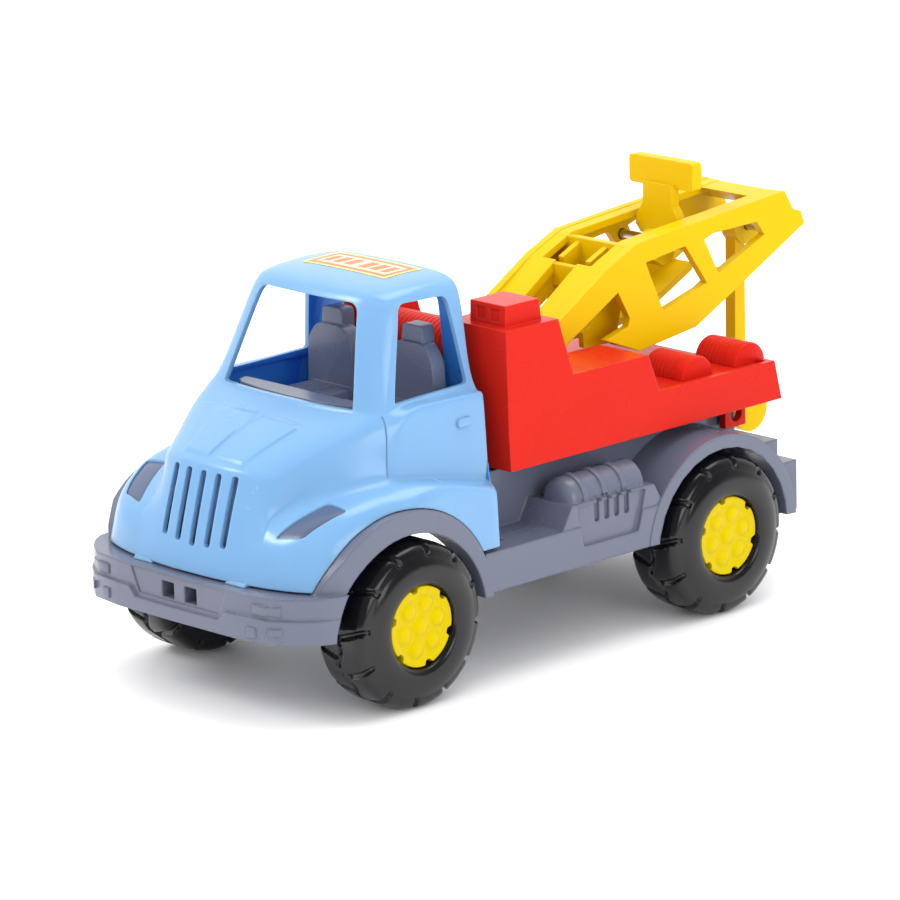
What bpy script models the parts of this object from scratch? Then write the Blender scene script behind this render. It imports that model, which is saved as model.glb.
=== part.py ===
"""Toy tow truck: a moulded plastic truck with a tilting crane boom, a T-handled lever and a swinging hook.

Frame: +Z up, the truck drives towards -Y, +X is the truck's left side, and the ground is Z = 0.
All sizes below are millimetres in the truck's own frame, whose Y = 0 is midway between the axles.
The parent empty moves that frame so that the origin ends up under the centre of the whole truck.
"""

import math

import bmesh
import bpy
from mathutils import Matrix, Vector

MM = 0.001

# Driving dimensions, millimetres.
WHEELBASE = 150.0
FRONT_Y = -WHEELBASE / 2
REAR_Y = WHEELBASE / 2
AXLE_Z = 28.2
TYRE_RADIUS = 28.8
TYRE_INNER_X = 38.1
TYRE_OUTER_X = 63.6
HUB_RADIUS = 14.2
AXLE_RADIUS = 2.0
AXLE_HALF = 60.5
CLEARANCE = 0.3
WALL = 2.5
BODY_HALF = 60.0
FRAME_HALF = 38.0
DECK_TOP = 46.0
DECK_THICKNESS = 2.5
SILL_BOTTOM = 32.0
FRAME_TOP = 66.5
BED_HALF = 50.0
BED_BOTTOM = 68.5
BED_DECK = 83.0
BED_STEP = 97.0
TOWER_TOP = 118.0
BOOM_HALF = 20.5
BOOM_PLATE = 3.0
BOOM_PIVOT = (0.0, 19.0, 90.5)
LEVER_PIVOT = (0.0, 104.8, 121.0)
HOOK_PIVOT = (0.0, 149.0, 120.0)
PIN_RADIUS = 1.8
PIN_REACH = 19.0
HOLE_PLAY = 0.35
MIDDLE_Y = 15.35
SHELL = 2.0
ROUND_SIDES = 24


def make_material(name, colour, roughness, metallic=0.0):
    material = bpy.data.materials.new(name)
    material.use_nodes = True
    shader = material.node_tree.nodes["Principled BSDF"]
    shader.inputs["Base Color"].default_value = (*colour, 1.0)
    shader.inputs["Roughness"].default_value = roughness
    shader.inputs["Metallic"].default_value = metallic
    material.diffuse_color = (*colour, 1.0)
    return material


def make_object(name, mesh_data, material, smooth=False):
    """An object from a bmesh in millimetres, placed in the truck's frame."""
    bmesh.ops.recalc_face_normals(mesh_data, faces=mesh_data.faces)
    bmesh.ops.scale(mesh_data, vec=(MM, MM, MM), verts=mesh_data.verts)
    mesh = bpy.data.meshes.new(name)
    mesh_data.to_mesh(mesh)
    mesh_data.free()
    if smooth:
        mesh.shade_smooth()
        mesh.set_sharp_from_angle(angle=math.radians(35))
    if material:
        mesh.materials.append(material)
    obj = bpy.data.objects.new(name, mesh)
    bpy.context.scene.collection.objects.link(obj)
    obj.parent = TRUCK
    return obj


def set_origin(obj, point):
    """Move the object's origin onto its joint, leaving the mesh where it is."""
    offset = Vector(point) * MM
    obj.data.transform(Matrix.Translation(-offset))
    obj.location = offset


def helper(obj):
    obj.hide_render = True
    obj.display_type = "WIRE"
    return obj


def boolean(target, tool, operation):
    helper(tool)
    modifier = target.modifiers.new(f"{operation.lower()}_{tool.name}", "BOOLEAN")
    modifier.operation = operation
    modifier.solver = "EXACT"
    modifier.object = tool


def join(target, *tools):
    for tool in tools:
        boolean(target, tool, "UNION")


def cut(target, *tools):
    for tool in tools:
        boolean(target, tool, "DIFFERENCE")


def loft(rings, close_ends=True):
    """Faces between rings of points; each ring is a closed loop with the same count."""
    mesh_data = bmesh.new()
    loops = [[mesh_data.verts.new(point) for point in ring] for ring in rings]
    pairs = list(zip(loops, loops[1:]))
    if not close_ends:
        pairs.append((loops[-1], loops[0]))
    for one, two in pairs:
        for i in range(len(one)):
            j = (i + 1) % len(one)
            mesh_data.faces.new((one[i], one[j], two[j], two[i]))
    if close_ends:
        mesh_data.faces.new(loops[0])
        mesh_data.faces.new(loops[-1])
    return mesh_data


def prism_x(outline, x0, x1):
    """Solid with a (y, z) outline, from x0 to x1."""
    return loft([[(x, y, z) for y, z in outline] for x in (x0, x1)])


def prism_y(outline, y0, y1):
    """Solid with an (x, z) outline, from y0 to y1."""
    return loft([[(x, y, z) for x, z in outline] for y in (y0, y1)])


def prism_z(outline, z0, z1):
    """Solid with an (x, y) outline, from z0 to z1."""
    return loft([[(x, y, z) for x, y in outline] for z in (z0, z1)])


def box(x0, x1, y0, y1, z0, z1):
    return prism_z([(x0, y0), (x1, y0), (x1, y1), (x0, y1)], z0, z1)


def circle(centre, radius, sides=ROUND_SIDES, start=0.0, end=360.0):
    """Points of an arc; a full circle leaves out its last point."""
    full = abs(end - start) >= 360.0
    count = sides if full else sides + 1
    step = math.radians(end - start) / sides
    return [
        (
            centre[0] + radius * math.cos(math.radians(start) + i * step),
            centre[1] + radius * math.sin(math.radians(start) + i * step),
        )
        for i in range(count)
    ]


def rod_x(y, z, radius, x0, x1, sides=24):
    return prism_x(circle((y, z), radius, sides), x0, x1)


def rod_z(x, y, radius, z0, z1, sides=16):
    return prism_z(circle((x, y), radius, sides), z0, z1)


def rounded(points, radius, steps=4):
    """A closed outline with rounded corners, given one radius or one for each corner."""
    result = []
    count = len(points)
    radii = radius if isinstance(radius, tuple) else (radius,) * count
    for i in range(count):
        here = Vector(points[i])
        before = (Vector(points[i - 1]) - here)
        after = (Vector(points[(i + 1) % count]) - here)
        reach = min(radii[i], before.length / 2.2, after.length / 2.2)
        start = here + before.normalized() * reach
        end = here + after.normalized() * reach
        for k in range(steps + 1):
            t = k / steps
            point = start * (1 - t) ** 2 + here * 2 * t * (1 - t) + end * t ** 2
            result.append((point.x, point.y))
    return result


def both_sides(x0, x1):
    return ((x0, x1), (-x1, -x0))


def mirrored(points):
    """Whole outline from its +X half, given from one end of the centre line to the other."""
    return points + [(-x, y) for x, y in reversed(points) if x > 0]


# ---------------------------------------------------------------- chassis

FRONT_OPENING_CENTRE = (-77.4, 25.2)
FRONT_OPENING = 35.0
FRONT_RIM_CENTRE = (-78.6, 29.2)
FRONT_RIM_RADIUS = 39.3
REAR_OPENING = 33.1
REAR_ARCH_CENTRE = (74.3, 26.8)
REAR_ARCH_RADIUS = 37.8
BUMPER_BOTTOM = 30.0
BUMPER_TOP = 45.6
BUMPER_FRONT = -129.0
SILL_REAR = 42.0
# What is trimmed off the front of each arch rim, below and above the bumper's top.
LOW_TRIM = ((70.0, -109.0), (59.9, -109.0), (59.4, -112.0), (56.6, -116.5), (51.5, -121.8), (45.0, -130.0),
            (70.0, -130.0))
HIGH_TRIM = ((70.0, -90.0), (60.2, -90.0), (59.7, -99.0), (58.8, -106.0), (55.0, -112.0), (48.0, -118.0),
             (45.0, -130.0), (70.0, -130.0))
STEP_TOP = 54.0
TANK_CENTRE = (49.4, 54.0)
TANK_RADIUS = 7.9


def bumper_plan(proud):
    """Plan outline of the bumper, pushed out by the given amount."""
    half = [
        (0.0, BUMPER_FRONT - proud),
        (30.0, BUMPER_FRONT + 0.4 - proud),
        (44.0, BUMPER_FRONT + 2.4 - proud),
        (51.5, BUMPER_FRONT + 7.2 - 0.8 * proud),
        (56.6 + 0.5 * proud, BUMPER_FRONT + 12.5 - 0.4 * proud),
        (59.4 + 0.4 * proud, BUMPER_FRONT + 17.0),
        (BODY_HALF, -109.0),
        (50.0, -109.0),
        (44.0, -112.5),
        (0.0, -112.0),
    ]
    return mirrored(half)


def build_bumper():
    body = make_object("tool_bumper", prism_z(bumper_plan(0.0), BUMPER_BOTTOM, BUMPER_TOP), None)
    lip = make_object("tool_bumper_lip", prism_z(bumper_plan(1.2), BUMPER_BOTTOM, 38.2), None)
    notch = [(-24.4, 38.5), (-20.9, 34.8), (20.9, 34.8), (24.4, 38.5)]
    cut(lip, make_object("tool_lip_notch", prism_y(notch, -140.0, -120.0), None))
    join(body, lip)
    for x in (-8.8, 2.6):
        hole = box(x, x + 6.2, -140.0, -100.0, 37.0, 42.6)
        cut(body, make_object("tool_bumper_hole", hole, None))
    panel = [(-20.0, 36.3), (20.0, 36.3), (24.0, 45.0), (-24.0, 45.0)]
    cut(body, make_object("tool_bumper_panel", prism_y(panel, -140.0, -128.2), None))
    return body


def front_rim(x0, x1):
    """Arch-shaped rim round one front wheel, thicker in front, ending on the bumper and the sill."""
    outer = circle(FRONT_RIM_CENTRE, FRONT_RIM_RADIUS, 28, 178.0, 2.0)
    inner = circle(FRONT_OPENING_CENTRE, FRONT_OPENING, 28, 9.0, 171.0)
    return prism_x(outer + inner, x0, x1)


def build_chassis(grey):
    sills = box(-BODY_HALF, BODY_HALF, -42.5, SILL_REAR, SILL_BOTTOM, DECK_TOP)
    chassis = make_object("chassis", sills, grey)
    front_deck = box(-30, 30, -118, -38, 38.0, DECK_TOP)
    join(chassis, make_object("tool_front_deck", front_deck, None))
    join(chassis, make_object("tool_frame", box(-FRAME_HALF, FRAME_HALF, -23.6, 104, 40.0, FRAME_TOP), None))
    join(chassis, build_bumper())
    for x0, x1 in both_sides(50.0, BODY_HALF):
        rim = make_object("tool_front_rim", front_rim(x0, x1), None)
        side = 1 if x0 > 0 else -1
        for outline, z0, z1 in ((LOW_TRIM, 0.0, BUMPER_TOP), (HIGH_TRIM, BUMPER_TOP, 80.0)):
            trim = prism_z([(side * x, y) for x, y in outline], z0 - 0.01, z1)
            cut(rim, make_object("tool_rim_trim", trim, None))
        join(chassis, rim)
    step = [(-6.0, 40.0), (-5.6, 45.2), (-0.4, STEP_TOP), (40.0, STEP_TOP), (48.0, 40.0)]
    for x0, x1 in both_sides(36.0, BODY_HALF - 0.4):
        join(chassis, make_object("tool_step", prism_x(step, x0, x1), None))
    fender = circle(REAR_ARCH_CENTRE, REAR_ARCH_RADIUS, 28, 172.0, 3.0)
    for x0, x1 in both_sides(36.0, BODY_HALF + 0.3):
        join(chassis, make_object("tool_fender", prism_x(fender, x0, x1), None))
    for side in (1, -1):
        tank = []
        for y, radius in ((1.2, 4.6), (1.9, 6.4), (3.2, 7.5), (5.0, TANK_RADIUS), (37.0, TANK_RADIUS)):
            ring = circle((side * TANK_CENTRE[0], TANK_CENTRE[1]), radius, 20)
            tank.append([(x, y, z) for x, z in ring])
        join(chassis, make_object("tool_tank", loft(tank), None))
        for y in (7.0, 16.5, 26.0):
            band = circle((side * TANK_CENTRE[0], TANK_CENTRE[1]), TANK_RADIUS + 0.7, 20)
            join(chassis, make_object("tool_band", prism_y(band, y, y + 2.2), None))
    join(chassis, make_object("tool_tail_upper", box(-45, 45, 96, 119, 30.0, 52.0), None))
    join(chassis, make_object("tool_tail_lower", box(-45, 45, 96, 129, 24.0, 42.4), None))
    hollow_chassis(chassis)
    detail_chassis(chassis)
    return chassis


def hollow_chassis(chassis):
    """Open the underside, the wheel wells and the axle and screw holes."""
    cut(chassis, make_object("tool_sill_hollow", box(-57, 57, -40, 39, 20, DECK_TOP - DECK_THICKNESS), None))
    inner = FRAME_HALF - WALL
    cut(chassis, make_object("tool_frame_hollow", box(-inner, inner, -21.4, 101.5, 20, FRAME_TOP - 3.0), None))
    front_hollow = box(-27.5, 27.5, -109, -30, 20, DECK_TOP - DECK_THICKNESS)
    cut(chassis, make_object("tool_front_hollow", front_hollow, None))
    for x0, x1 in both_sides(15.0, 51.0):
        window = box(x0, x1, -47.0, -25.5, 20, DECK_TOP + 1.0)
        cut(chassis, make_object("tool_deck_window", window, None))
    under_wall = box(-34.0, 34.0, -26.0, -20.0, 20, DECK_TOP - DECK_THICKNESS + 1.2)
    cut(chassis, make_object("tool_frame_front", under_wall, None))
    tail = box(-42.5, 42.5, 104, 126.5, 20, 39.9)
    cut(chassis, make_object("tool_tail_hollow", tail, None))
    for x0, x1 in both_sides(37.7, 70.0):
        rear = circle(REAR_ARCH_CENTRE, REAR_OPENING, 28)
        cut(chassis, make_object("tool_rear_well", prism_x(rear, x0, x1), None))
        front = circle(FRONT_OPENING_CENTRE, FRONT_OPENING, 28)
        cut(chassis, make_object("tool_front_well", prism_x(front, x0, x1), None))
        below = box(x0, x1, REAR_ARCH_CENTRE[0] - REAR_OPENING, 107.4, 0.0, 26.8)
        cut(chassis, make_object("tool_rear_well_foot", below, None))
    for y in (FRONT_Y, REAR_Y):
        for x0, x1 in both_sides(27.0, 36.5 if y > 0 else 30.0):
            top = 45.0 if y < 0 else FRAME_TOP - 1
            join(chassis, make_object("tool_bearing", box(x0, x1, y - 7, y + 7, 21.0, top), None))
        bore = rod_x(y, AXLE_Z, AXLE_RADIUS + HOLE_PLAY, -45, 45)
        cut(chassis, make_object("tool_axle_bore", bore, None))
    for x, y in BODY_SCREWS:
        cut(chassis, make_object("tool_screw_hole", rod_z(x, y, 1.7, 50, 70), None))
    for x, y in CAB_SCREWS:
        cut(chassis, make_object("tool_cab_screw_hole", rod_z(x, y, 1.7, 40, 50), None))


def detail_chassis(chassis):
    """Recessed side panel with four slots, the tail slit and the fender lip."""
    panel = [(4.6, 38.7), (31.7, 38.7), (35.9, 53.2), (2.0, 53.2)]
    for side in (1, -1):
        outer = sorted((side * (BODY_HALF - 1.6), side * 66.0))
        cut(chassis, make_object("tool_side_panel", prism_x(rounded(panel, 1.0, 2), *outer), None))
        slot_ends = sorted((side * (BODY_HALF - 3.0), side * 66.0))
        for i in range(4):
            y = 11.5 + 4.9 * i
            slot = rounded([(y, 45.8), (y + 2.4, 45.8), (y + 2.4, 55.0), (y, 55.0)], 1.0, 2)
            cut(chassis, make_object("tool_side_slot", prism_x(slot, *slot_ends), None))
    cut(chassis, make_object("tool_tail_slit", box(30, 41, 107.5, 110, 50.5, 60), None))
    cut(chassis, make_object("tool_tail_slit_right", box(-41, -30, 107.5, 110, 50.5, 60), None))


# ---------------------------------------------------------------- wheels

def build_axle(name, y, steel):
    axle = make_object(name, rod_x(0, 0, AXLE_RADIUS, -AXLE_HALF, AXLE_HALF, 20), steel, smooth=True)
    axle.location = Vector((0, y, AXLE_Z)) * MM
    return axle


def build_tyre(name, side, y, rubber):
    """Fat tyre with blocky lugs across its shoulders."""
    middle = (TYRE_INNER_X + TYRE_OUTER_X) / 2
    half = (TYRE_OUTER_X - TYRE_INNER_X) / 2
    inner_radius = HUB_RADIUS + CLEARANCE
    profile = [
        (-half + 3.0, inner_radius),
        (-half + 0.6, inner_radius + 1.5),
        (-half, 20.0),
        (-half + 1.0, TYRE_RADIUS - 3.5),
        (-half + 4.5, TYRE_RADIUS),
        (half - 4.5, TYRE_RADIUS),
        (half - 1.0, TYRE_RADIUS - 3.5),
        (half, 20.0),
        (half - 0.6, inner_radius + 1.5),
        (half - 3.0, inner_radius),
    ]
    rings = []
    sides = 36
    # Half a step of turn puts a flat of the tread on the ground.
    for i in range(sides):
        angle = 2 * math.pi * (i + 0.5) / sides
        drop = 1.3 if i % 3 == 1 else 0.0
        ring = []
        for x, r in profile:
            r = r / math.cos(math.pi / sides) - drop if r > TYRE_RADIUS - 1 else r
            ring.append((side * (middle + x), r * math.cos(angle), r * math.sin(angle)))
        rings.append(ring)
    tyre = make_object(name, loft(rings, close_ends=False), rubber, smooth=True)
    tyre.location = Vector((0, y, AXLE_Z)) * MM
    return tyre


def build_hub(name, side, y, yellow):
    """Hub pressed on the axle: a dished disc with a rim and six notches in its edge."""
    notch_count = 6
    sides = 48
    rings_at = [(45.0, 0.0), (61.4, 0.0), (61.4, -1.6), (62.8, -2.6)]
    ring_points = []
    for x, shrink in rings_at:
        ring = []
        for i in range(sides):
            angle = 2 * math.pi * i / sides
            notch = (i * notch_count * 2 // sides) % 2 == 1 and i % (sides // notch_count) in (5, 6)
            radius = HUB_RADIUS + shrink - (1.6 if notch else 0.0)
            ring.append((side * x, radius * math.cos(angle), radius * math.sin(angle)))
        ring_points.append(ring)
    hub = make_object(name, loft(ring_points), yellow, smooth=True)
    hub.location = Vector((0, y, AXLE_Z)) * MM
    ends = sorted((side * 40.0, side * (AXLE_HALF + CLEARANCE)))
    bore = make_object("tool_hub_bore", rod_x(0, 0, AXLE_RADIUS + CLEARANCE, *ends), None)
    bore.location = hub.location
    cut(hub, bore)
    return hub


# ---------------------------------------------------------------- cab

# Rows of the cab's surface, from the bottom of the nose over the roof to the bottom of the back.
# Each row runs from the centre line to the lower edge of the side.
CAB_ROWS = [
    [(0, -124.5, 46.4), (11, -124.3, 46.4), (20, -123.5, 46.4), (26, -122.7, 46.4),
     (30, -122, 46.4), (33.5, -121.3, 46.4), (37, -120.5, 46.4), (41, -119.3, 46.4),
     (46, -117.6, 46.4), (51.5, -114.5, 46.4), (56, -109.5, 46.4)],
    [(0, -120.5, 62), (10, -120.3, 62), (18, -119.5, 61.5), (22.5, -118.6, 61), (25.5, -118.5, 60),
     (28, -118.4, 59.5), (31, -118.4, 59), (35.5, -118, 58.5), (45, -116, 58.5), (53, -110.5, 56.5),
     (57.5, -105.5, 49)],
    [(0, -117, 74), (9.8, -116.8, 74), (17.6, -115.8, 73.6), (22.2, -113.9, 73.2),
     (24.6, -112, 72.5), (26, -111.5, 71), (27.8, -112.8, 66), (33, -115.3, 62.3),
     (46, -112.8, 64.5), (54.5, -106.5, 61.5), (58.5, -101.5, 48.5)],
    [(0, -114.5, 82.3), (9.8, -114.3, 82.2), (17, -113, 81.7), (22.8, -111.4, 81),
     (26.4, -109.8, 79.2), (28.4, -108.2, 75.6), (29, -107.2, 70), (34.5, -108.5, 67),
     (47.5, -106, 69), (56, -100, 66), (59.5, -96, 48)],
    [(0, -105, 87.2), (10.8, -104.8, 87.1), (20, -103.9, 86.6), (26, -102.6, 85.9),
     (30, -101.3, 83.8), (32, -100.1, 79.7), (33.7, -99, 73.8), (38, -99.5, 70.6),
     (49.5, -98, 72.3), (57.8, -92.5, 69), (60.3, -88, 47.5)],
    [(0, -93, 92.4), (12.8, -92.9, 92.3), (23.6, -92.2, 91.8), (30.7, -91.3, 91.4),
     (35.6, -90.2, 89.8), (38.2, -89.1, 86), (40, -88.2, 78.8), (43, -88.5, 73.6),
     (52, -87.5, 74.2), (58.8, -82, 70.6), (60.3, -78, 47.5)],
    [(0, -82, 96.3), (14.3, -81.9, 96.3), (26.8, -81, 96), (34.8, -80, 96.1), (40.2, -78.6, 95.4),
     (43.4, -77, 93), (45.2, -75.8, 85.6), (47.2, -75.6, 76.3), (54, -75, 74.8), (59.4, -70, 71.2),
     (60.3, -66, 47.5)],
    [(0, -79.5, 97.4), (14, -79.3, 97.4), (25.5, -78.2, 97.3), (33.6, -76.6, 97.6),
     (38.9, -74, 98.5), (43.2, -72, 97.6), (46.7, -70.4, 94.4), (48.4, -67.5, 75.4),
     (56.4, -66, 75.1), (59.5, -60, 72.6), (60.2, -58, 47.5)],
    [(0, -67.4, 131.6), (12.5, -67.2, 131.6), (23, -66.6, 131.4), (30.2, -64.4, 131),
     (35.4, -59.5, 130.2), (41.3, -62, 99.6), (46.4, -61.6, 98.9), (48.8, -58.5, 74),
     (57.2, -58, 73.9), (59.6, -52, 71.4), (60, -50, 47.5)],
    [(0, -63.6, 136), (13, -63.4, 136), (24, -62.6, 135.7), (31, -60, 134.8), (35.4, -53.5, 131.2),
     (41.3, -52, 99.3), (46.4, -52, 98.6), (48.9, -50.5, 72.3), (57.5, -50, 72.2),
     (59.7, -46, 69.7), (60, -44, 47.5)],
    [(0, -52, 137.6), (14, -51.9, 137.5), (25.5, -51, 137), (32, -49, 135.6), (35.8, -45.5, 131.4),
     (41.3, -44, 99.1), (46.4, -43.5, 98.4), (48.9, -43, 70.8), (57.6, -43, 70.7),
     (59.8, -41, 68.2), (60, -40, 47.5)],
    [(0, -36, 137.9), (14.5, -36, 137.8), (26, -36, 137.3), (32.4, -36, 135.8), (36, -35.5, 131.4),
     (41.3, -35.6, 98.9), (46.4, -35.5, 98.2), (48.9, -35.5, 69.2), (57.5, -36.5, 69.1),
     (59.6, -37, 66.6), (60, -37, 47.5)],
    [(0, -27.6, 137.4), (14, -27.6, 137.3), (25.4, -27.6, 136.8), (31.6, -27.6, 135.2),
     (35.2, -27.6, 131), (41, -29.8, 98.7), (46, -28.4, 97.9), (48.6, -29.4, 67.8), (56, -34, 67.7),
     (58.5, -34.6, 65.2), (59.6, -34.8, 47.5)],
    [(0, -26, 134.5), (13.5, -26, 134.4), (24, -26, 134), (30, -26, 132.8), (33.2, -26, 129.6),
     (39.2, -28, 98.5), (43.9, -26.4, 96.8), (47, -28.9, 66.6), (54, -34.4, 65.4), (57, -35, 63),
     (57.5, -35, 47.5)],
    [(0, -26, 98), (13, -26, 98), (22, -26, 98), (28, -26, 97.5), (33, -26, 96.5),
     (38.5, -26.2, 94.5), (42.2, -26.8, 90), (45.2, -28.6, 62.5), (49.5, -33.4, 60.5),
     (54, -35, 60), (54.5, -35, 47.5)],
    [(0, -26, 47.5), (11, -26, 47.5), (18.5, -26, 47.5), (25, -26, 47.5), (30, -26, 47.5),
     (34, -26.1, 47.5), (38, -26.4, 47.5), (42, -27.2, 47.5), (45.5, -30.5, 47.5),
     (48, -34.2, 47.5), (50, -35, 47.5)],
]
# Where the surface turns more tightly: (column or row, its first and last crossing, sharpness).
COLUMN_CREASES = ((4, 3, 6, 0.35), (5, 7, 12, 0.5), (6, 1, 4, 0.45), (6, 7, 12, 0.6), (7, 6, 12, 0.85),
                  (9, 5, 12, 0.35))
ROW_CREASES = ((3, 0, 4, 0.4), (7, 0, 5, 0.5), (12, 0, 9, 0.5))

WINDSCREEN = [(-32.4, 98.2), (32.4, 98.2), (24.1, 131.8), (-24.1, 131.8)]
SIDE_WINDOW = [(-65.9, 99.6), (-30.9, 100.4), (-34.4, 131.0), (-55.8, 131.4)]
REAR_WINDOW = [(-27.0, 101.0), (27.0, 101.0), (24.0, 130.0), (-24.0, 130.0)]
GRILLE_PITCH = 7.3
GRILLE_SLOT = 3.0
HEADLIGHT = [(34.0, -115.1), (37.0, -107.0), (41.0, -96.3), (50.7, -96.9), (47.5, -106.0), (44.8, -112.2)]
LAMP_SLOPE = 0.54
LAMP_AT = (-115.0, 61.2)
LAMP_DEPTH = 5.0
LAMP_GROWTH = 1.03


def cab_surface():
    """Open sheet through the cab's rows, mirrored about X = 0."""
    mesh_data = bmesh.new()
    lines = []
    for row in CAB_ROWS:
        left = [mesh_data.verts.new((-x, y, z)) for x, y, z in reversed(row[1:])]
        right = [mesh_data.verts.new(point) for point in row]
        lines.append(left + right)
    for one, two in zip(lines, lines[1:]):
        for i in range(len(one) - 1):
            mesh_data.faces.new((one[i], one[i + 1], two[i + 1], two[i]))
    crease = mesh_data.edges.layers.float.new("crease_edge")
    middle = len(CAB_ROWS[0]) - 1
    for side in (1, -1):
        for column, first, last, sharpness in COLUMN_CREASES:
            for i in range(first, last):
                ends = (lines[i][middle + side * column], lines[i + 1][middle + side * column])
                mesh_data.edges.get(ends)[crease] = sharpness
        for row, first, last, sharpness in ROW_CREASES:
            for i in range(first, last):
                ends = (lines[row][middle + side * i], lines[row][middle + side * (i + 1)])
                mesh_data.edges.get(ends)[crease] = sharpness
    return mesh_data


def build_cab(blue):
    cab = make_object("cab_shell", cab_surface(), blue, smooth=True)
    smoothing = cab.modifiers.new("smoothing", "SUBSURF")
    smoothing.levels = 1
    smoothing.render_levels = 1
    shell = cab.modifiers.new("shell", "SOLIDIFY")
    shell.thickness = SHELL * MM
    shell.offset = -1.0
    windscreen = rounded(WINDSCREEN, (1.2, 1.2, 4.0, 4.0))
    cut(cab, make_object("tool_windscreen", prism_y(windscreen, -100, -58), None))
    for x0, x1 in both_sides(20.0, 70.0):
        window = prism_x(rounded(SIDE_WINDOW, (1.2, 1.6, 3.2, 3.2)), x0, x1)
        cut(cab, make_object("tool_side_window", window, None))
    for x0, x1 in both_sides(36.0, 70.0):
        arch = circle(FRONT_RIM_CENTRE, FRONT_RIM_RADIUS + CLEARANCE, 40)
        cut(cab, make_object("tool_cab_arch", prism_x(arch, x0, x1), None))
    cut(cab, make_object("tool_rear_window", prism_y(rounded(REAR_WINDOW, 5.0), -34, -20), None))
    for i in range(-2, 3):
        x = i * GRILLE_PITCH
        bottom = 54.8 + 0.7 * abs(i)
        half = GRILLE_SLOT / 2
        corners = [(x - half, bottom), (x + half, bottom), (x + half, 79.8), (x - half, 79.8)]
        cut(cab, make_object("tool_grille_slot", prism_y(rounded(corners, 1.3, 3), -130, -103), None))
    for side in (1, -1):
        outline = rounded([(side * x, y) for x, y in HEADLIGHT], 2.0, 3)
        cut(cab, make_object("tool_headlight", prism_z(outline, 54, 80), None))
    return cab


def build_headlight(name, side, grey):
    """Lamp plate under the cab's opening, lying along the fender's slope."""
    centre = Vector((sum(x for x, y in HEADLIGHT), sum(y for x, y in HEADLIGHT))) / len(HEADLIGHT)
    grown = []
    for x, y in HEADLIGHT:
        point = centre + (Vector((x, y)) - centre) * LAMP_GROWTH
        grown.append((side * point.x, point.y))
    rings = []
    for drop in (LAMP_DEPTH + 1.4, LAMP_DEPTH):
        rings.append(
            [(x, y, LAMP_AT[1] + LAMP_SLOPE * (y - LAMP_AT[0]) - drop) for x, y in grown]
        )
    return make_object(name, loft(rings), grey)


CAB_SCREWS = ((20.0, -56.0), (-20.0, -56.0))


def build_interior(grey):
    """Floor, dashboard and two seats in one moulding, on two posts."""
    interior = make_object("cab_interior", box(-35, 35, -70, -31, 84, 86), grey)
    join(interior, make_object("tool_dash_front", box(-27, 27, -70, -67.5, 85, 95), None))
    dash = [(-31.5, -67.0), (31.5, -67.0), (30.5, -71.0), (27.0, -73.4), (15.0, -75.4),
            (0.0, -76.2), (-15.0, -75.4), (-27.0, -73.4), (-30.5, -71.0)]
    join(interior, make_object("tool_dash", prism_z(dash, 94.5, 98.2), None))
    for centre in (20.0, -20.0):
        back = rounded([(centre - 11.8, 85), (centre + 11.8, 85), (centre + 11.0, 107), (centre + 6.5, 113),
                        (centre - 6.5, 113), (centre - 11.0, 107)], 3.0)
        join(interior, make_object("tool_seat_back", prism_y(back, -38, -32), None))
        rest = rounded([(centre - 5.2, 111), (centre + 5.2, 111),
                        (centre + 4.8, 118.8), (centre - 4.8, 118.8)], 1.8)
        join(interior, make_object("tool_headrest", prism_y(rest, -36.5, -30.8), None))
        seat = rounded([(centre - 11, 85), (centre + 11, 85), (centre + 10.5, 92), (centre - 10.5, 92)], 2.0)
        join(interior, make_object("tool_seat", prism_y(seat, -56, -37), None))
    for x, y in CAB_SCREWS:
        join(interior, make_object("tool_post", rod_z(x, y, 5.0, DECK_TOP + CLEARANCE, 85), None))
        cut(interior, make_object("tool_post_bore", rod_z(x, y, 1.7, 40, 62), None))
    return interior


def build_sticker(paper):
    """Label on the roof, a thin rectangle bent to the roof's crown."""
    rings = []
    for x in (-20.5, -10.0, 0.0, 10.0, 20.5):
        crown = 138.1 - 0.0012 * x * x
        section = ((-49.5, 0.2), (-31.5, 0.35), (-31.5, 0.0), (-49.5, -0.15))
        rings.append([(x, y, crown + z) for y, z in section])
    return make_object("roof_sticker", loft(rings), paper)


# ---------------------------------------------------------------- tow body

BODY_SCREWS = ((25.0, -8.0), (-25.0, -8.0), (25.0, 92.0), (-25.0, 92.0))
WELL_HALF = 26.0
TOWER_INNER = 21.3
DRUM_Y = (80.2, 107.2)
DRUM_RADIUS = 7.3


def ribbed_drum(x0, x1, y, z, radius, flange):
    """Half-sunk rope drum along X with shallow ribs and a plain end disc."""
    profile = [(x0, 0.6)]
    x = x0
    rib = 1.9
    while x < x1 - flange - rib:
        profile += [(x, radius), (x + rib, radius), (x + rib, radius - 0.8), (x + 2 * rib, radius - 0.8)]
        x += 2 * rib
    profile += [(x, radius), (x1, radius), (x1, 0.6)]
    rings = []
    sides = 16
    for px, pr in profile:
        ring = []
        for i in range(sides):
            angle = 2 * math.pi * i / sides
            ring.append((px, y + pr * math.cos(angle), z + pr * math.sin(angle)))
        rings.append(ring)
    return loft(rings)


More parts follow.
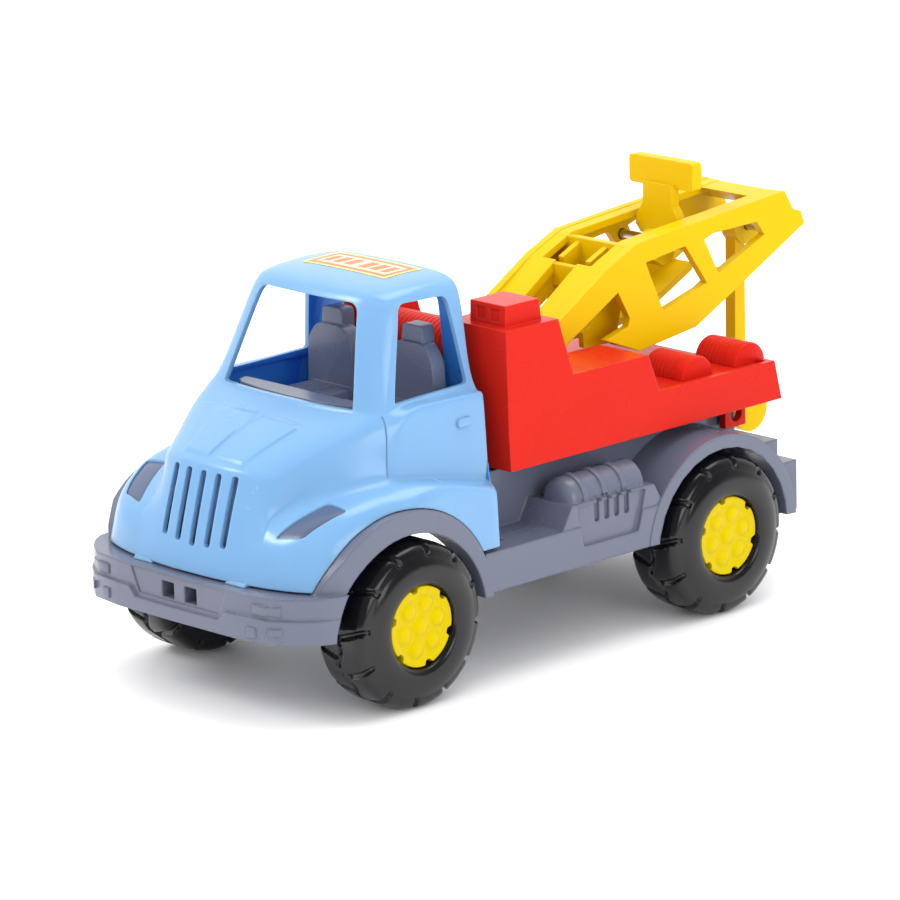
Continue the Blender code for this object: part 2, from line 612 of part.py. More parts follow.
def build_tow_body(red):
    floor = [(-20.0, BED_BOTTOM), (-20.6, BED_DECK), (112.5, BED_DECK), (116.0, BED_BOTTOM)]
    body = make_object("tow_body", prism_x(floor, -BED_HALF, BED_HALF), red)
    step = [(-15.0, 80.0), (-15.0, BED_STEP), (48.0, BED_STEP), (53.5, BED_DECK), (54.5, 80.0)]
    tower = [(-20.55, 80.0), (-21.2, TOWER_TOP), (4.0, TOWER_TOP), (11.0, BED_STEP), (16.0, 80.0)]
    cap = [(-17.5, 117.0), (-17.3, 125.5), (-1.2, 125.5), (0.0, 117.0)]
    for x0, x1 in both_sides(WELL_HALF, BED_HALF):
        join(body, make_object("tool_step_block", prism_x(step, x0, x1), None))
    for x0, x1 in both_sides(TOWER_INNER, BED_HALF):
        join(body, make_object("tool_tower", prism_x(tower, x0, x1), None))
    for x0, x1 in both_sides(29.0, 46.0):
        join(body, make_object("tool_tower_cap", prism_x(cap, x0, x1), None))
        middle = (x0 + x1) / 2
        for x in (middle - 5.6, middle + 0.8):
            recess = box(x, x + 4.8, -20, -16.8, 119.5, 124.0)
            cut(body, make_object("tool_cap_recess", recess, None))
    join(body, make_object("tool_front_wall", box(-24, 24, -20.4, -17.4, 80, 96), None))
    winch = ribbed_drum(-TOWER_INNER - 1, TOWER_INNER + 1, -11.0, 106.0, 8.5, 2.0)
    join(body, make_object("tool_winch", winch, None))
    cut(body, make_object("tool_bed_recess", box(-47.8, 47.8, 56.0, 110.3, 81.6, 90.0), None))
    for y in DRUM_Y:
        drum = ribbed_drum(23.0, 42.8, y, 81.4, DRUM_RADIUS, 5.0)
        join(body, make_object("tool_drum", drum, None))
    cut(body, make_object("tool_tail_notch", box(-22, 22, 106.5, 120, 60, 95), None))
    hollow_tow_body(body)
    return body


def hollow_tow_body(body):
    """Open the underside of the bed, the side steps and the towers, and add the fixing posts."""
    outer = BED_HALF - WALL
    cut(body, make_object("tool_bed_hollow", box(-outer, outer, -17.8, 104.0, 60, 79.0), None))
    for x0, x1 in both_sides(WELL_HALF + WALL, outer):
        cut(body, make_object("tool_step_hollow", box(x0, x1, -17.7, 46.0, 78, BED_STEP - WALL), None))
        cut(body, make_object("tool_tower_hollow", box(x0 + 0.2, x1 - 0.1, -17.6, 2.0, 90, 115.5), None))
    for x, y in BODY_SCREWS:
        join(body, make_object("tool_boss", rod_z(x, y, 4.0, FRAME_TOP + CLEARANCE, 80), None))
        cut(body, make_object("tool_boss_bore", rod_z(x, y, 1.5, 60, 78), None))
    for x0, x1 in both_sides(39.5, 42.5):
        lug = [(94.5, 60.0), (105.0, 60.0), (105.0, 80.0), (94.5, 80.0)]
        join(body, make_object("tool_lug", prism_x(lug, x0, x1), None))
        cut(body, make_object("tool_lug_hole", rod_x(100.2, 64.6, 2.9, x0 - 2, x1 + 2, 20), None))
    pin_hole = rod_x(BOOM_PIVOT[1], BOOM_PIVOT[2], PIN_RADIUS + HOLE_PLAY, -32, 32)
    cut(body, make_object("tool_boom_pin_hole", pin_hole, None))


def build_screw(name, x, y, seat, steel):
    """Pan-head screw driven upwards: the head sits below the seat height."""
    profile = [(0.05, seat - 2.6), (2.6, seat - 2.6), (3.0, seat - 0.8), (3.0, seat), (1.25, seat),
               (1.25, seat + 9.0), (0.05, seat + 10.0)]
    rings = []
    sides = 16
    for radius, z in profile:
        ring = []
        for i in range(sides):
            angle = 2 * math.pi * i / sides
            ring.append((x + radius * math.cos(angle), y + radius * math.sin(angle), z))
        rings.append(ring)
    return make_object(name, loft(rings), steel, smooth=True)


# ---------------------------------------------------------------- crane

TOP_LINE = [(24.0, 98.8), (58.5, 121.5), (73.5, 128.1), (150.5, 134.5)]
CHORD_LINE = [(74.0, 89.0), (103.3, 92.6), (128.8, 105.0), (160.9, 120.9)]
TIP = [(160.9, 120.9), (159.0, 125.8), (154.9, 127.2), (150.5, 134.5)]
FRONT_GAP = [(77.7, 120.5), (98.1, 123.0), (109.1, 107.6), (86.5, 101.5), (82.7, 109.4)]
REAR_GAP = [(108.0, 123.7), (112.7, 125.2), (135.5, 125.6), (139.5, 120.2), (118.4, 111.5), (115.1, 110.2)]
SLOT_HALF = 12.0
RIB_X = (5.6, 8.0)


def lowered(points, depth):
    return [(y, z - depth) for y, z in points]


def side_plate_outline():
    pivot = (BOOM_PIVOT[1], BOOM_PIVOT[2])
    heel = circle(pivot, 6.5, 8, 305.0, 120.0)
    notch = [(39.1, 98.8), (63.5, 112.1), (69.3, 101.7), (68.2, 98.8), (57.0, 95.8)]
    return heel + TOP_LINE[1:] + TIP[-2::-1] + CHORD_LINE[-2::-1] + notch[::-1]


def build_boom(yellow):
    """Two truss side plates joined by flanges, a three-cell block at the bend and a tip bar."""
    outline = side_plate_outline()
    inner = BOOM_HALF - BOOM_PLATE
    boom = make_object("boom", box(-BOOM_HALF + 1, BOOM_HALF - 1, 71.2, 74.4, 116.0, 126.9), yellow)
    front_cross = box(-BOOM_HALF + 1.2, BOOM_HALF - 1.2, 57.2, 60.2, 112.2, 120.1)
    join(boom, make_object("tool_front_cross", front_cross, None))
    flange = lowered(TOP_LINE[1:], 0.25) + lowered(TOP_LINE[1:], 3.0)[::-1]
    leg = lowered(TOP_LINE[:2], 0.25) + [(60.0, 118.0), (26.5, 96.0)]
    leg_web = [(27.5, 99.0), (59.0, 120.2), (62.6, 113.0), (39.3, 98.4), (31.0, 94.0)]
    chord = lowered(CHORD_LINE[:3], -0.25) + lowered(CHORD_LINE[:3], -3.0)[::-1]
    web = [(58.5, 91.0), (58.0, 96.5), (62.5, 98.4), (67.5, 105.0), (62.4, 121.5), (73.0, 126.2),
           (78.4, 122.0), (79.4, 110.0), (75.0, 92.4), (73.6, 90.4)]
    for side in (1, -1):
        plate = prism_x(outline, *sorted((side * inner, side * BOOM_HALF)))
        join(boom, make_object("tool_side_plate", plate, None))
        band = prism_x(flange, *sorted((side * SLOT_HALF, side * (BOOM_HALF - 0.6))))
        join(boom, make_object("tool_flange", band, None))
        face = prism_x(leg, *sorted((side * (RIB_X[0] - 0.2), side * (BOOM_HALF - 0.7))))
        join(boom, make_object("tool_leg", face, None))
        inside = prism_x(leg_web, *sorted((side * (RIB_X[0] + 0.2), side * (RIB_X[1] + 0.3))))
        join(boom, make_object("tool_leg_web", inside, None))
        foot = prism_x(chord, *sorted((side * RIB_X[0], side * (BOOM_HALF - 0.6))))
        join(boom, make_object("tool_chord", foot, None))
        rib = prism_x(web, *sorted((side * RIB_X[0], side * RIB_X[1])))
        join(boom, make_object("tool_web", rib, None))
        span = sorted((side * (inner - 3), side * (WELL_HALF - CLEARANCE)))
        boss = rod_x(BOOM_PIVOT[1], BOOM_PIVOT[2], 5.0, *span)
        join(boom, make_object("tool_boss_boom", boss, None))
        for gap in (FRONT_GAP, REAR_GAP):
            ends = sorted((side * (inner - 3), side * 30))
            cut(boom, make_object("tool_gap", prism_x(gap, *ends), None))
    tip = [(140.0, 133.2), (150.2, 134.1), (154.0, 127.6), (150.0, 127.6)]
    join(boom, make_object("tool_tip", prism_x(tip, -BOOM_HALF + 1, BOOM_HALF - 1), None))
    blind = PIN_REACH + CLEARANCE
    for pivot, reach in ((BOOM_PIVOT, 40.0), (LEVER_PIVOT, blind), (HOOK_PIVOT, blind)):
        bore = rod_x(pivot[1], pivot[2], PIN_RADIUS + HOLE_PLAY, -reach, reach, 20)
        cut(boom, make_object("tool_bore", bore, None))
    set_origin(boom, BOOM_PIVOT)
    return boom


def build_lever(yellow):
    """T-handle whose stem stands in the slot between the boom's flanges."""
    stem = [(-4.2, 114.5), (4.2, 114.5), (5.0, 119.0), (10.8, 126.0), (10.0, 130.0), (7.2, 134.0),
            (7.0, 142.0), (-7.0, 142.0), (-7.2, 134.0), (-10.0, 130.0), (-10.8, 126.0), (-5.0, 119.0)]
    lever = make_object("boom_lever", prism_y(stem, 105.0, 109.0), yellow)
    bar = rounded([(-15.6, 140.5), (15.6, 140.5), (15.6, 150.7), (-15.6, 150.7)], 1.5, 3)
    join(lever, make_object("tool_lever_bar", prism_y(bar, 107.0, 112.0), None))
    eye = circle((LEVER_PIVOT[1], LEVER_PIVOT[2]), 4.2, 20)
    join(lever, make_object("tool_lever_eye", prism_x(eye, -4.4, 4.4), None))
    toe = [(99.5, 115.0), (103.0, 112.5), (108.0, 113.4), (108.6, 117.0), (103.0, 119.5)]
    join(lever, make_object("tool_lever_toe", prism_x(toe, -4.4, 4.4), None))
    bore = rod_x(LEVER_PIVOT[1], LEVER_PIVOT[2], PIN_RADIUS + HOLE_PLAY, -20, 20, 20)
    cut(lever, make_object("tool_lever_bore", bore, None))
    set_origin(lever, LEVER_PIVOT)
    return lever


def build_hook(yellow):
    """Straight arm with a round eye on top and a hook curling to the rear at the bottom."""
    half = 2.4
    y0 = 143.2
    y1 = 148.2
    centre = (150.9, 50.0)
    outer = 8.6
    bottom = circle(centre, outer, 12, 180.0, 360.0)
    outline = [(y0, 120.0)] + bottom + [(159.5, 61.0), (156.0, 62.5), (155.2, 55.0)]
    outline += circle((151.6, 55.0), 3.3, 6, 340.0, 200.0)
    outline += [(y1, 58.0), (y1, 120.0)]
    hook = make_object("hook_arm", prism_x(outline, -half, half), yellow)
    eye = circle((HOOK_PIVOT[1], HOOK_PIVOT[2]), 7.2, 24)
    join(hook, make_object("tool_hook_eye", prism_x(eye, -half - 1.0, half + 1.0), None))
    bore = rod_x(HOOK_PIVOT[1], HOOK_PIVOT[2], PIN_RADIUS + HOLE_PLAY, -20, 20, 20)
    cut(hook, make_object("tool_hook_bore", bore, None))
    set_origin(hook, HOOK_PIVOT)
    return hook


def build_pin(name, pivot, half, steel):
    pin = make_object(name, rod_x(pivot[1], pivot[2], PIN_RADIUS, -half, half, 16), steel, smooth=True)
    set_origin(pin, pivot)
    return pin


def main():
    blue = make_material("sky_blue_plastic", (0.27, 0.58, 0.94), 0.25)
    grey = make_material("grey_plastic", (0.25, 0.28, 0.38), 0.3)
    dark = make_material("dark_grey_plastic", (0.12, 0.14, 0.2), 0.3)
    red = make_material("red_plastic", (0.93, 0.05, 0.03), 0.25)
    yellow = make_material("yellow_plastic", (0.98, 0.7, 0.0), 0.35)
    rubber = make_material("black_plastic", (0.015, 0.015, 0.018), 0.3)
    steel = make_material("steel", (0.6, 0.6, 0.6), 0.3, 1.0)
    paper = make_material("label_orange", (0.95, 0.45, 0.2), 0.4)
    build_chassis(grey)
    build_cab(blue)
    build_interior(dark)
    build_headlight("headlight_left", 1, grey)
    build_headlight("headlight_right", -1, grey)
    build_sticker(paper)
    build_tow_body(red)
    for end, y in (("front", FRONT_Y), ("rear", REAR_Y)):
        build_axle(f"{end}_axle", y, steel)
        for name, side in (("left", 1), ("right", -1)):
            build_tyre(f"tyre_{end}_{name}", side, y, rubber)
            build_hub(f"hub_{end}_{name}", side, y, yellow)
    for i, (x, y) in enumerate(BODY_SCREWS):
        build_screw(f"body_screw_{i + 1}", x, y, FRAME_TOP - 3.0 - CLEARANCE, steel)
    for i, (x, y) in enumerate(CAB_SCREWS):
        build_screw(f"cab_screw_{i + 1}", x, y, DECK_TOP - DECK_THICKNESS - CLEARANCE, steel)
    build_boom(yellow)
    build_lever(yellow)
    build_hook(yellow)
    build_pin("boom_pin", BOOM_PIVOT, 31.0, steel)
    build_pin("lever_pin", LEVER_PIVOT, PIN_REACH, steel)
    build_pin("hook_pin", HOOK_PIVOT, PIN_REACH, steel)


for old in list(bpy.data.objects):
    bpy.data.objects.remove(old, do_unlink=True)
TRUCK = bpy.data.objects.new("truck_frame", None)
bpy.context.scene.collection.objects.link(TRUCK)
TRUCK.location = (0.0, -MIDDLE_Y * MM, (TYRE_RADIUS - AXLE_Z) * MM)
main()
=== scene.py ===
"""Looks of the toy tow truck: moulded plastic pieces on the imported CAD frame, floor, light and camera.

Sizes below are millimetres in the truck's own frame (ground Z = 0, Y = 0 midway between the axles);
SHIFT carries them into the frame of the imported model.
"""

import math

import bmesh
import bpy
from mathutils import Matrix, Vector
from mathutils.bvhtree import BVHTree


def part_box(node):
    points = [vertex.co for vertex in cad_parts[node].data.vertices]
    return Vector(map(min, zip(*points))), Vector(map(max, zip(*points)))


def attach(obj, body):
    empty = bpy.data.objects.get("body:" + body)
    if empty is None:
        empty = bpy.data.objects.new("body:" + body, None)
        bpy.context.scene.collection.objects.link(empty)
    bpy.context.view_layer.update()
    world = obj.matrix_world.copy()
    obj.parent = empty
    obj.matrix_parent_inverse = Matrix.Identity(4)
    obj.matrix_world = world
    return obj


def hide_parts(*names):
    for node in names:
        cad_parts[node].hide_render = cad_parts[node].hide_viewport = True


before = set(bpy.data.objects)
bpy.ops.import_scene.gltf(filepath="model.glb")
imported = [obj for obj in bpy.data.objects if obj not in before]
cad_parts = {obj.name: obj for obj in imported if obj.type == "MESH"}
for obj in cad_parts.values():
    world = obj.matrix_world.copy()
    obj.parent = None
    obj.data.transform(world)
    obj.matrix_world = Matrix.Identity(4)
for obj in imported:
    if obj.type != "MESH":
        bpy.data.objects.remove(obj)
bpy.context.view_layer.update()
MM = 0.001
AXLE_Z = 28.2
FRONT_Y = -75.0
REAR_Y = 75.0
SIDES = (("left", 1), ("right", -1))
# Rays start this far out, well clear of the truck.
OUTSIDE = 200.0


def centre_of(node):
    low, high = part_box(node)
    return (Vector(low) + Vector(high)) / 2


SHIFT = centre_of("front_axle") / MM - Vector((0.0, FRONT_Y, AXLE_Z))


# ---------------------------------------------------------------- materials

def add_node(tree, kind, inputs=None, **settings):
    """A shader node; inputs gives a socket to link or a value to set, by the input's name or number."""
    node = tree.nodes.new(kind)
    for key, value in settings.items():
        setattr(node, key, value)
    for key, value in (inputs or {}).items():
        if isinstance(value, bpy.types.NodeSocket):
            tree.links.new(value, node.inputs[key])
        else:
            node.inputs[key].default_value = value
    return node


def mixed(tree, factor, one, two):
    """Colour mix; factor, one and two are sockets or values."""
    inputs = {0: factor, 6: one, 7: two}
    return add_node(tree, "ShaderNodeMix", inputs, data_type="RGBA").outputs[2]


def noise(tree, place, scale, detail):
    inputs = {"Vector": place, "Scale": scale, "Detail": detail}
    return add_node(tree, "ShaderNodeTexNoise", inputs).outputs[0]


def stretched(tree, place, scale, rotation=(0.0, 0.0, 0.0)):
    """Coordinates scaled by axis, so that a noise on them turns into fine lines."""
    inputs = {"Vector": place, "Rotation": rotation, "Scale": scale}
    return add_node(tree, "ShaderNodeMapping", inputs).outputs[0]


def carried(tree, value, low, high, to_low=0.0, to_high=1.0):
    """The value's range from low to high carried to another range."""
    inputs = {"Value": value, "From Min": low, "From Max": high, "To Min": to_low, "To Max": to_high}
    return add_node(tree, "ShaderNodeMapRange", inputs).outputs[0]


def times(tree, one, two):
    return add_node(tree, "ShaderNodeMath", {0: one, 1: two}, operation="MULTIPLY").outputs[0]


def bumped(tree, shader, height, strength, distance=0.0001, normal=None):
    """Bump on the shader's normal; the distance is in metres."""
    inputs = {"Height": height, "Strength": strength, "Distance": distance}
    if normal is not None:
        inputs["Normal"] = normal
    bump = add_node(tree, "ShaderNodeBump", inputs)
    tree.links.new(bump.outputs[0], shader.inputs["Normal"])


def shade(colour, factor):
    return (*(min(1.0, c * factor) for c in colour), 1.0)


def new_material(name):
    """A material with its node tree, its shader and the object's own coordinates."""
    material = bpy.data.materials.new(name)
    material.use_nodes = True
    tree = material.node_tree
    place = tree.nodes.new("ShaderNodeTexCoord").outputs["Object"]
    return material, tree, tree.nodes["Principled BSDF"], place


def moulded_plastic(name, colour, roughness, edge, shine, glow=0.0, worn=0.3, tinted=False):
    """Injection-moulded plastic: faint orange peel, cloudy gloss, fine handling scratches, rubbed edges.

    edge is the rounding of its edges in millimetres, shine its specular level, glow its subsurface
    share and worn how far its edges are rubbed pale; tinted plastic has highlights in its own colour.
    """
    material, tree, shader, place = new_material(name)
    clouds = noise(tree, place, 38.0, 3.0)
    peel = noise(tree, place, 520.0, 2.0)
    handled = stretched(tree, place, (40.0, 900.0, 260.0), (0.5, 0.3, 0.9))
    scratch = carried(tree, noise(tree, handled, 1.0, 2.0), 0.68, 0.8)

    # Rubbed edges: where the rounded normal leans away from the face's own normal.
    rounded = add_node(tree, "ShaderNodeBevel", {"Radius": edge * MM}, samples=6).outputs[0]
    flat = tree.nodes.new("ShaderNodeNewGeometry").outputs["True Normal"]
    lean = add_node(tree, "ShaderNodeVectorMath", {0: rounded, 1: flat}, operation="DOT_PRODUCT")
    edges = carried(tree, lean.outputs["Value"], 0.99, 0.8)
    rubbed = times(tree, times(tree, edges, clouds), worn)

    body = mixed(tree, clouds, shade(colour, 0.96), shade(colour, 1.04))
    pale = tuple(min(1.0, c * 0.8 + 0.2) for c in colour)
    tree.links.new(mixed(tree, rubbed, body, (*pale, 1.0)), shader.inputs["Base Color"])
    gloss = carried(tree, clouds, 0.3, 0.7, roughness - 0.05, roughness + 0.06)
    dull = add_node(tree, "ShaderNodeMath", {0: scratch, 1: 0.04, 2: gloss}, operation="MULTIPLY_ADD")
    tree.links.new(dull.outputs[0], shader.inputs["Roughness"])
    bumped(tree, shader, peel, 0.1, normal=rounded)
    shader.inputs["Subsurface Weight"].default_value = glow
    shader.inputs["Subsurface Radius"].default_value = tuple(0.001 + 0.009 * c for c in colour)
    shader.inputs["Subsurface Scale"].default_value = 1.0
    shader.inputs["Specular IOR Level"].default_value = shine
    if tinted:
        shader.inputs["Specular Tint"].default_value = (*(c / max(colour) for c in colour), 1.0)
    material.diffuse_color = (*colour, 1.0)
    return material


def brushed_steel(name):
    material, tree, shader, place = new_material(name)
    lines = noise(tree, stretched(tree, place, (60.0, 2500.0, 2500.0)), 1.0, 3.0)
    shader.inputs["Metallic"].default_value = 1.0
    tone = mixed(tree, lines, (0.45, 0.45, 0.46, 1), (0.66, 0.66, 0.67, 1))
    tree.links.new(tone, shader.inputs["Base Color"])
    tree.links.new(carried(tree, lines, 0.0, 1.0, 0.22, 0.42), shader.inputs["Roughness"])
    bumped(tree, shader, lines, 0.15)
    return material


def printed_paper(name, colour):
    """Glossy printed label with a faint paper fibre."""
    material, tree, shader, place = new_material(name)
    fibre = noise(tree, place, 1400.0, 4.0)
    tone = mixed(tree, fibre, shade(colour, 0.92), shade(colour, 1.06))
    tree.links.new(tone, shader.inputs["Base Color"])
    shader.inputs["Roughness"].default_value = 0.38
    bumped(tree, shader, fibre, 0.1, 0.00005)
    return material


# Plastics: name, colour, roughness, rounding of the edges, shine.
BLUE = moulded_plastic("sky_blue_plastic", (0.148, 0.307, 0.52), 0.22, 0.7, 0.45, glow=0.3)
# The blue shell's inner faces: the same plastic given a deeper, more saturated colour. This is painted
# shade for the light that bounces around and soaks through inside the cab.
BLUE_PAINTED_SHADE = moulded_plastic("blue_plastic_painted_shade", (0.03, 0.19, 0.56), 0.3, 0.7, 0.3, glow=0.3)
GREY = moulded_plastic("grey_plastic", (0.105, 0.115, 0.165), 0.24, 1.2, 0.45)
DARK = moulded_plastic("dark_grey_plastic", (0.11, 0.13, 0.195), 0.26, 0.8, 0.45)
LENS = moulded_plastic("lamp_plastic", (0.07, 0.095, 0.165), 0.24, 0.4, 0.45)
RED = moulded_plastic("red_plastic", (0.51, 0.014, 0.007), 0.28, 0.6, 0.25, glow=0.03, tinted=True)
YELLOW = moulded_plastic("yellow_plastic", (0.62, 0.4, 0.0), 0.38, 0.5, 0.25, glow=0.05, tinted=True)
HUB_YELLOW = moulded_plastic("hub_yellow_plastic", (0.52, 0.395, 0.0), 0.36, 0.4, 0.3, glow=0.03,
                             tinted=True)
BLACK = moulded_plastic("black_plastic", (0.004, 0.004, 0.005), 0.18, 0.5, 0.42, worn=0.03)
STEEL = brushed_steel("steel")
PAPER_RED = printed_paper("label_red", (0.8, 0.16, 0.06))
PAPER_GOLD = printed_paper("label_gold", (0.95, 0.62, 0.14))
PAPER_CREAM = printed_paper("label_cream", (0.93, 0.66, 0.42))


# ---------------------------------------------------------------- mesh helpers

def new_object(name, data):
    obj = bpy.data.objects.new(name, data)
    bpy.context.scene.collection.objects.link(obj)
    return obj


def mesh_from(name, mesh_data):
    """The bmesh as a mesh; the bmesh itself is freed."""
    mesh = bpy.data.meshes.new(name)
    mesh_data.to_mesh(mesh)
    mesh_data.free()
    return mesh


def make_piece(name, mesh_data, material, body, replaces, sharp=38.0):
    """A shown piece from a bmesh in the truck's millimetres, riding on a body."""
    bmesh.ops.recalc_face_normals(mesh_data, faces=mesh_data.faces)
    for vertex in mesh_data.verts:
        vertex.co = (vertex.co + SHIFT) * MM
    finish_piece(name, mesh_from(name, mesh_data), material, body, replaces, sharp)


def finish_piece(name, mesh, material, body, replaces, sharp):
    """Smooth shading with creases above the sharp angle, the material or materials and the body; the CAD
    parts it replaces are hidden.
    """
    mesh.shade_smooth()
    mesh.set_sharp_from_angle(angle=math.radians(sharp))
    for one in material if isinstance(material, tuple) else (material,):
        mesh.materials.append(one)
    obj = new_object(name, mesh)
    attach(obj, body)
    if replaces:
        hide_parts(*replaces)


def applied(obj, *modifiers):
    """The object's mesh with these modifiers applied, as a new mesh."""
    for kind, settings in modifiers:
        modifier = obj.modifiers.new(kind.lower(), kind)
        for key, value in settings.items():
            setattr(modifier, key, value)
    graph = bpy.context.evaluated_depsgraph_get()
    mesh = bpy.data.meshes.new_from_object(obj.evaluated_get(graph))
    obj.modifiers.clear()
    return mesh


def refined(node, material, body):
    """The CAD node's shape with its curved faces smoothed, shown in its place."""
    name = node + "_look"
    mesh_data = bmesh.new()
    mesh_data.from_mesh(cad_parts[node].data)
    bmesh.ops.remove_doubles(mesh_data, verts=mesh_data.verts, dist=1e-6)
    mesh = mesh_from(name, mesh_data)
    if "custom_normal" in mesh.attributes:
        mesh.attributes.remove(mesh.attributes["custom_normal"])
    finish_piece(name, mesh, material, body, (node,), 30.0)


def loft(rings, close_ends=True):
    """Faces from ring to ring; the two end rings are filled, or joined to each other."""
    mesh_data = bmesh.new()
    loops = [[mesh_data.verts.new(point) for point in ring] for ring in rings]
    pairs = list(zip(loops, loops[1:]))
    if not close_ends:
        pairs.append((loops[-1], loops[0]))
    for one, two in pairs:
        for i in range(len(one)):
            j = (i + 1) % len(one)
            mesh_data.faces.new((one[i], one[j], two[j], two[i]))
    if close_ends:
        mesh_data.faces.new(loops[0])
        mesh_data.faces.new(loops[-1])
    return mesh_data


def prism(outline, low, high, axis):
    """Solid with an outline in the two other axes' plane, between low and high on the axis."""
    order = {"x": lambda a, b, c: (c, a, b),
             "y": lambda a, b, c: (a, c, b),
             "z": lambda a, b, c: (a, b, c)}[axis]
    return loft([[order(a, b, c) for a, b in outline] for c in (low, high)])


def side_prism(outline, side, near, far):
    """Solid with an outline in Y and Z, between two distances from the middle on one side."""
    return prism(outline, *sorted((side * near, side * far)), "x")


def circle(centre, radius, sides):
    angles = [2 * math.pi * i / sides for i in range(sides)]
    return [(centre[0] + radius * math.cos(a), centre[1] + radius * math.sin(a)) for a in angles]


def rounded_outline(points, radius, steps=6):
    """A closed outline, each corner replaced by a short curve; one radius, or one for each corner."""
    result = []
    count = len(points)
    radii = radius if isinstance(radius, tuple) else (radius,) * count
    for i in range(count):
        here = Vector(points[i])
        before = Vector(points[i - 1]) - here
        after = Vector(points[(i + 1) % count]) - here
        reach = min(radii[i], before.length / 2.2, after.length / 2.2)
        start = here + before.normalized() * reach
        end = here + after.normalized() * reach
        for k in range(steps + 1):
            t = k / steps
            result.append(tuple(start * (1 - t) ** 2 + here * 2 * t * (1 - t) + end * t ** 2))
    return result


def middle_of(outline):
    return sum((Vector(point) for point in outline), Vector((0.0, 0.0))) / len(outline)


def merged(parts):
    """One bmesh holding all the parts."""
    whole = bmesh.new()
    for part in parts:
        mesh = mesh_from("part", part)
        whole.from_mesh(mesh)
        bpy.data.meshes.remove(mesh)
    return whole


def smoothstep(low, high, value):
    t = min(1.0, max(0.0, (value - low) / (high - low)))
    return t * t * (3 - 2 * t)


# ---------------------------------------------------------------- cab

